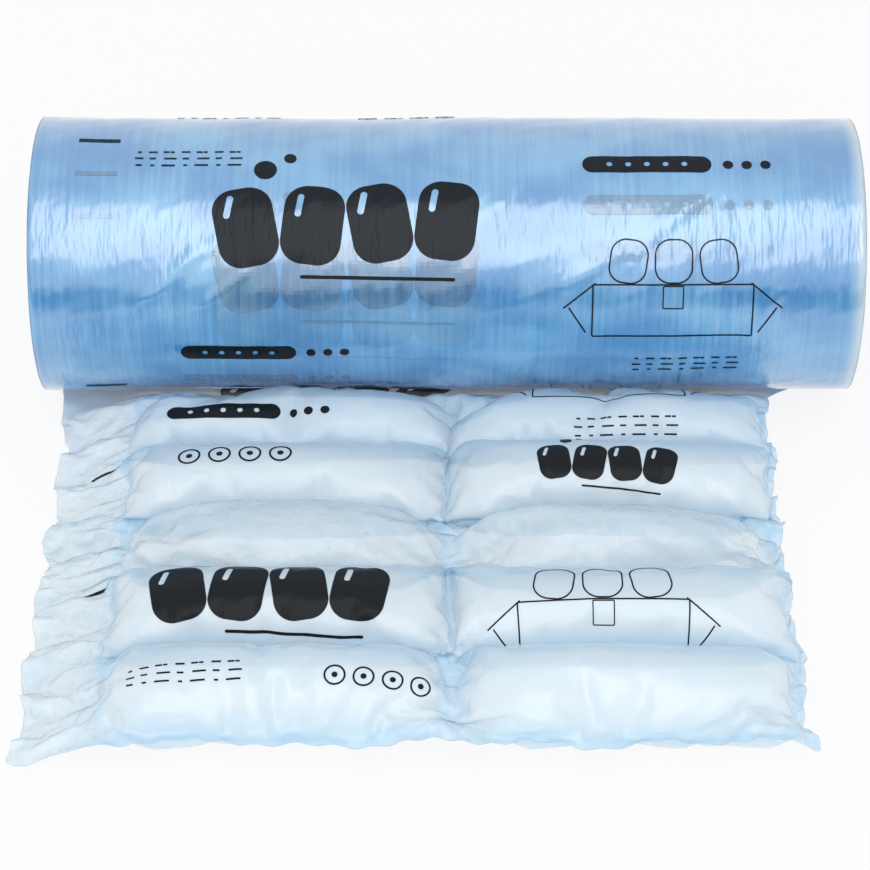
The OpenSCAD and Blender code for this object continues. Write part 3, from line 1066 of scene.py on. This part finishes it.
# along a round cushion the film turns away, so equal steps of film are unequal steps of floor
from_end = np.where(chamber, COLUMN * np.minimum(s, 1 - s), 0)
swell = np.sin(np.pi / 2 * np.minimum(from_end / END_LEN, 1)) ** END_FULLNESS
swell = np.where(from_end >= END_LEN, 1, swell)
t_round = 0.5 + 0.5 * np.sin(STEEP * (2 * t - 1)) / math.sin(STEEP)
t_floor = t + (t_round - t) * swell
y = np.where(lead, lead_start + (first_seam - CROSS_SEAL / 2 - lead_start) * t,
             seams[row_or_0] + CROSS_SEAL / 2 + (length - CROSS_SEAL) * t_floor)
y = np.where(row >= ROWS, seams[ROWS] + HEM, y)
hem_back = HEM_WAVE * (np.sin(2 * np.pi * u / 57 + 1) + np.sin(2 * np.pi * u / 132 + 0.4))
hem_back = hem_back + CORNER_BACK * (column == 0) * (1 - s)
y = y - np.where(row >= ROWS - 1, hem_back * t ** 3, 0)
across = 2 * t_floor - 1
at_seam = np.where(in_rows, across ** 2, 1)
drawn = np.select([column == 0, column == 1, column == 2], [-1, s - 1, s], 1)
mid_flat = left + CHANNEL + COLUMN + MID_SEAL / 2
x_blown = MID_X + SHRINK * (u - mid_flat) - EAR * (1 - at_seam) * drawn
x = np.where(lead, u + (x_blown - u) * (1 - (1 - t) ** 3), x_blown)

full_height = np.where(row == SLACK_ROW, SLACK_H, TUBE_H * HEIGHT_SHARES[row_or_0])
rise = np.where(chamber, full_height / 2 * np.sqrt(np.clip(1 - across ** 2, 0, 1)) * swell, 0)
# the lead lies flat at first, and climbs steeply to the first seal
climb = np.where(lead, t ** 2.5, 1)
print("rows", np.round(row_lengths, 1), "mm long from the roll to the front")

# %% [markdown]
# A drawn-in seal puckers, and the channel at the left edge, which holds no air, lies in ruffles.
# Both are waves. The puckers differ from row to row, and the ruffles are three sets of waves that
# cross, so that none of them shows as a pattern.

# %% Puckers of the seals
def near(distance, reach=9):
    """1 at a line, fading to 0 over some millimetres."""
    return np.exp(-(distance / reach) ** 2)


PHASES = np.array([0.3, 2.1, 4.4, 1.2, 3.3, 5.1, 0.9])
RUFFLE = 4.4
# share of the height, direction, length in mm and phase
RUFFLE_WAVES = [(0.6, 0.13, 0.99, 27.6, 0), (0.36, 0.62, -0.8, 18.8, 1), (0.14, -0.5, -0.85, 13, 2)]


def pucker(shift):
    """Waves along the end seals, different in each row."""
    phase = PHASES[(row_or_0 + shift) % len(PHASES)]
    wave = 4.5 * np.sin(4 * np.pi * t + phase) + 1.8 * np.sin(10 * np.pi * t + 2 * phase + shift)
    return np.where(in_rows, wave * np.sin(np.pi * t) ** 0.5, 0)


FAR = 1000
to_left = np.select([column == 1, column == 0], [COLUMN * s, CHANNEL * (1 - s)], FAR)
to_mid = np.select([column == 1, column == 2], [COLUMN * (1 - s), COLUMN * s], FAR)
to_right = np.select([column == 2, column == 3], [COLUMN * (1 - s), 0 * s], FAR)
end_puckers = near(to_left) * pucker(1) + near(to_mid) * pucker(2) + near(to_right) * pucker(4)
cross_puckers = 1.3 * np.sin(x / 2.3 + 2.2 * row + 1.6 * np.sin(x / 19))
cross_puckers = (cross_puckers + 0.5 * np.sin(2 * np.pi * x / 46 - row)) * at_seam * climb
ruffles = 1
for height, x_part, y_part, length_of_wave, phase in RUFFLE_WAVES:
    ruffles = ruffles + height * np.sin(2 * np.pi * (x_part * x + y_part * y) / length_of_wave + phase)
ruffles = RUFFLE * ruffles * climb
level = SEAM_Z * climb
z = np.select([column == 0, column == 3], [level * s ** 1.6 + ruffles * (1 - s ** 2), level * 0.86],
              level + cross_puckers * np.where(chamber, swell, 1)) + end_puckers
below_axis = np.sqrt(np.clip((ROLL_R + PLAN_GAP) ** 2 - y ** 2, 0, None))
under_roll = np.where(y < ROLL_R, ROLL_Z - below_axis, FAR)
upper = np.stack([x, -y, np.clip(np.minimum(z + rise, under_roll), 0.4, None)], -1)
lower = np.stack([x, -y, np.clip(z - rise, 0.1, None)], -1)
print("cross seals at", np.round(-seams, 1), "mm")

# %% [markdown]
# For the simulation the two sheets share their points at every seal, and only the insides of the
# chambers have a lower sheet of their own. The mesh has two shapes: the flat web, where the
# simulation starts, and the blown-up one, which pulls weakly on the seals.

# %% Web for the simulation
START_BULGE = 2
JITTER = 0.15
random = np.random.default_rng(7)
bulge = np.where(chamber, START_BULGE * np.sin(np.pi * s) ** 0.5 * np.sin(np.pi * t) ** 0.7, 0)
jitter = random.normal(0, JITTER, u.shape)
flat_y = -(lead_start + LEAD_FLAT + v)
flat_upper = np.stack([u, flat_y, SEAM_Z + bulge + jitter], -1)
flat_lower = np.stack([u, flat_y, SEAM_Z - bulge + jitter], -1)

number = np.arange(u.size).reshape(u.shape)
number_below = number.copy()
number_below[inside] = u.size + np.arange(inside.sum())


def quads(numbers, which):
    """The faces of a grid of points, where which is true."""
    corners = (numbers[:-1, :-1], numbers[:-1, 1:], numbers[1:, 1:], numbers[1:, :-1])
    return np.stack(corners, -1)[which]


same_row = row[:-1, :-1] == row[1:, :-1]
same_column = column[:-1, :-1] == column[:-1, 1:]
two_sheets = same_row & same_column & chamber[:-1, :-1] & chamber[1:, 1:]
everywhere = np.ones_like(two_sheets)
sheet_faces = np.concatenate([quads(number, everywhere)[:, ::-1], quads(number_below, two_sheets)])
blown_points = np.concatenate([upper.reshape(-1, 3), lower[inside]]) * MM
flat_points = np.concatenate([flat_upper.reshape(-1, 3), flat_lower[inside]]) * MM
print(len(flat_points), "points and", len(sheet_faces), "faces")

# %% [markdown]
# Three groups of points steer the simulation: how firmly the planned shape pulls on a point, how
# stiffly the film bends there, and how much air presses on it. The slack row gets little air.

# %% Groups of points
cross_line = in_rows & ((t == 0) | (t == 1))
end_line = ((column == 1) | (column == 2)) & ((s == 0) | (s == 1))
hold = np.select([~in_rows, cross_line | (column == 3), column == 0, end_line], [1, 0.4, 0.35, 0.3])
stiff = np.where(cross_line | end_line | (column == 3), 1, np.where(column == 0, 0.5, 0))
air = np.select([row == SLACK_ROW, row == 0], [0.15, 0.7], 1.0) * chamber


def weights(piece, name, values):
    """A vertex group from one value a point, in which the lower sheet follows the upper one."""
    group = piece.vertex_groups.new(name=name)
    values = np.round(np.concatenate([values.ravel(), values[inside]]), 2)
    for value in np.unique(values[values > 0]):
        group.add(np.nonzero(values == value)[0].tolist(), float(value), "REPLACE")


print("held points:", int((hold > 0).sum()))

# %% [markdown]
# The web shrinks to its planned place over the first frames, while the pressure is on all along.
# The rest of the frames let the film settle. Gravity is off, because the seals are held at their
# height anyway.

# %% Blow it up
FRAMES = 24
DRAW_FRAMES = 8


def blow_up():
    """Run the cloth from the flat web to the full cushions, and return its points in mm."""
    mesh = bpy.data.meshes.new("web")
    mesh.from_pydata(blown_points.tolist(), [], sheet_faces.tolist())
    web = new_object("web", mesh)
    for name, values in (("hold", hold), ("stiff", stiff), ("air", air)):
        weights(web, name, values)

    web.shape_key_add(name="blown up")
    flat = web.shape_key_add(name="flat")
    flat.data.foreach_set("co", flat_points.astype(np.float32).ravel())
    flat.value = 1
    flat.keyframe_insert("value", frame=1)
    flat.value = 0
    flat.keyframe_insert("value", frame=1 + DRAW_FRAMES)

    cloth = web.modifiers.new("film", "CLOTH")
    film = cloth.settings
    film.quality = 5
    film.mass = 0.0005
    film.tension_stiffness, film.compression_stiffness, film.shear_stiffness = 40, 5, 5
    film.bending_stiffness, film.bending_stiffness_max = 0.001, 0.05
    film.vertex_group_bending = "stiff"
    film.air_damping = 0.2
    film.vertex_group_mass = "hold"
    film.pin_stiffness = 0.3
    film.use_pressure = True
    film.uniform_pressure_force = 120
    film.vertex_group_pressure = "air"
    film.effector_weights.gravity = 0
    cloth.collision_settings.use_collision = False
    cloth.collision_settings.use_self_collision = False
    cloth.point_cache.frame_end = FRAMES

    scene = bpy.context.scene
    for number_of_frame in range(1, FRAMES + 1):
        scene.frame_set(number_of_frame)
    graph = bpy.context.evaluated_depsgraph_get()
    done = web.evaluated_get(graph)
    points = np.empty(len(mesh.vertices) * 3, np.float32)
    done.data.vertices.foreach_get("co", points)
    bpy.data.objects.remove(web)
    scene.frame_set(1)
    return points.reshape(-1, 3).astype(float) / MM


blown = blow_up()
moved = np.linalg.norm(blown - blown_points / MM, axis=1)
print("film moved from its planned place by", round(float(moved.mean()), 1), "mm on average")

# %% [markdown]
# The simulation knows nothing of the floor or the roll, so its points are lifted to the floor and
# pushed clear of the roll. Then the web gets its thickness. A real film is far thinner than this,
# but a closed solid needs some: at the seals the two sheets part by a quarter of a millimetre.

# %% Film with a thickness
SEAL_T = 0.25
FLOOR_GAP = 0.05
top = blown[:u.size].reshape(*u.shape, 3).copy()
bottom = top.copy()
bottom[inside] = blown[u.size:]

along_u = np.gradient(top, axis=1)
along_v = np.gradient(top, axis=0)
normal = np.cross(along_v, along_u)
normal /= np.maximum(np.linalg.norm(normal, axis=2, keepdims=True), 1e-9)
parting = normal * np.where(inside, 0, SEAL_T / 2)[..., None]
top = top + parting
bottom = bottom - parting


def clear_of_roll(points):
    """Push points that lie inside the roll out to its surface."""
    from_middle = points[..., 1:] - (0, ROLL_Z)
    distance = np.linalg.norm(from_middle, axis=-1)
    too_near = (distance < ROLL_R + ROLL_GAP) & ~lead
    pushed = (0, ROLL_Z) + from_middle * ((ROLL_R + ROLL_GAP) / distance)[..., None]
    points[..., 1:] = np.where(too_near[..., None], pushed, points[..., 1:])


for sheet, floor_gap in ((top, FLOOR_GAP + SEAL_T), (bottom, FLOOR_GAP)):
    clear_of_roll(sheet)
    sheet[..., 2] = np.maximum(sheet[..., 2], floor_gap)
print("seals", SEAL_T, "mm thick; the film ends", round(-float(top[..., 1].min()), 1), "mm in front")

# %% [markdown]
# The two sheets are joined by a rim round the web's border, which closes the mesh. Its UV map is
# the flat film, which the print and the finish need.

# %% Closed mesh of the rows
border = np.concatenate([number[0, :], number[1:, -1], number[-1, -2::-1], number[-2:0:-1, 0]])
after = np.roll(border, -1)
rim = np.stack([border, after, after + u.size, border + u.size], -1)
upper_faces = quads(number, everywhere)[:, ::-1]
lower_faces = quads(number + u.size, everywhere)
faces = np.concatenate([upper_faces, lower_faces, rim])
points = np.concatenate([top.reshape(-1, 3), bottom.reshape(-1, 3)]) * MM

strip_mesh = bpy.data.meshes.new("blown_up_rows")
strip_mesh.from_pydata(points.tolist(), [], faces.tolist())
uv_map = strip_mesh.uv_layers.new(name="film")
flat_place = np.stack([u.ravel(), v.ravel()], -1)
loops = np.empty(len(strip_mesh.loops), np.int32)
strip_mesh.loops.foreach_get("vertex_index", loops)
loop_place = flat_place[loops % u.size]
# the lower sheet has its place far aside on the map, where no print is laid
loop_place[upper_faces.size:-rim.size] += (ASIDE, 0)
uv_map.data.foreach_set("uv", (loop_place * MM).astype(np.float32).ravel())
print("mesh of", len(points), "points and", len(faces), "faces")

# %% [markdown]
# Now the two attributes of the finish are painted on the points. The film is bluer at every seal,
# where its layers are fused. Round the seals and on the steep back of a cushion, where more film
# lies behind it, the blue is painted shade. The back of the first row and the lead lie under the
# roll, and are bluer still: painted shade, and on the first row a painted reflection of the roll.

# %% Attributes and finish of the rows
# the first of these is the lead's blue, which is painted shade under the roll
LEAD_PAINTED_SHADE, LEAD_SLACK = 0.35, 0.1
CHANNEL_SLACK, ROW_SLACK = 0.95, 0.6
SEAL_AND_SHADE_MOST = 1.35
to_cross = np.where(in_rows, ROW_FLATS[row_or_0] * np.minimum(t, 1 - t), 0)
to_end = np.minimum(np.minimum(to_left, to_mid), to_right)
# painted shade under the roll and on the backs of the cushions, and on the first row a painted reflection of
# the blue roll
painted_shade_and_reflection = np.select([lead, row == 0, chamber],
                       [LEAD_PAINTED_SHADE, 0.9 * np.clip(1.15 - t, 0, 1), 0.75 * np.clip(1 - t / 0.5, 0, 1)])
# close to a seal the blue is the seal's own; further into the cushion it is painted shade in the valley
seal_and_shade_value = np.clip(np.maximum(near(to_cross, 10), near(to_end, 8)) + painted_shade_and_reflection, 0, SEAL_AND_SHADE_MOST)
seal_and_shade_value = np.where(column == 0, 0.25 + 0.6 * near(to_end, 9) + 0.2 * near(to_cross, 9), seal_and_shade_value)
slack_value = np.select([lead, column == 0, row == SLACK_ROW], [LEAD_SLACK, CHANNEL_SLACK, ROW_SLACK],
                        0.12 + 0.5 * near(to_end, 20))
for name, value in (("seal", seal_and_shade_value), ("slack", slack_value)):
    attribute = strip_mesh.attributes.new(name, "FLOAT", "POINT")
    attribute.data.foreach_set("value", np.tile(value.ravel(), 2).astype(np.float32))

strip_mesh.materials.append(BLOWN_FILM)
strip_mesh.polygons.foreach_set("use_smooth", [True] * len(strip_mesh.polygons))
strip = new_object("blown_up_rows", strip_mesh)
smooth = strip.modifiers.new("smooth", "SUBSURF")
smooth.levels = smooth.render_levels = 1
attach(strip, "root")
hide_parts("cushion_strip")
print("blown-up rows:", len(faces) * 4 * 2, "triangles when smoothed")

# %% [markdown]
# The print goes on last, when its film has its final creases.

# %% Print on the blown-up rows
ROWS_LIFT = 0.05
lay_ink("print_on_rows", flat_print(-LEAD_FLAT, v_line[-1]), strip, ROWS_LIFT, BLOWN_INK)
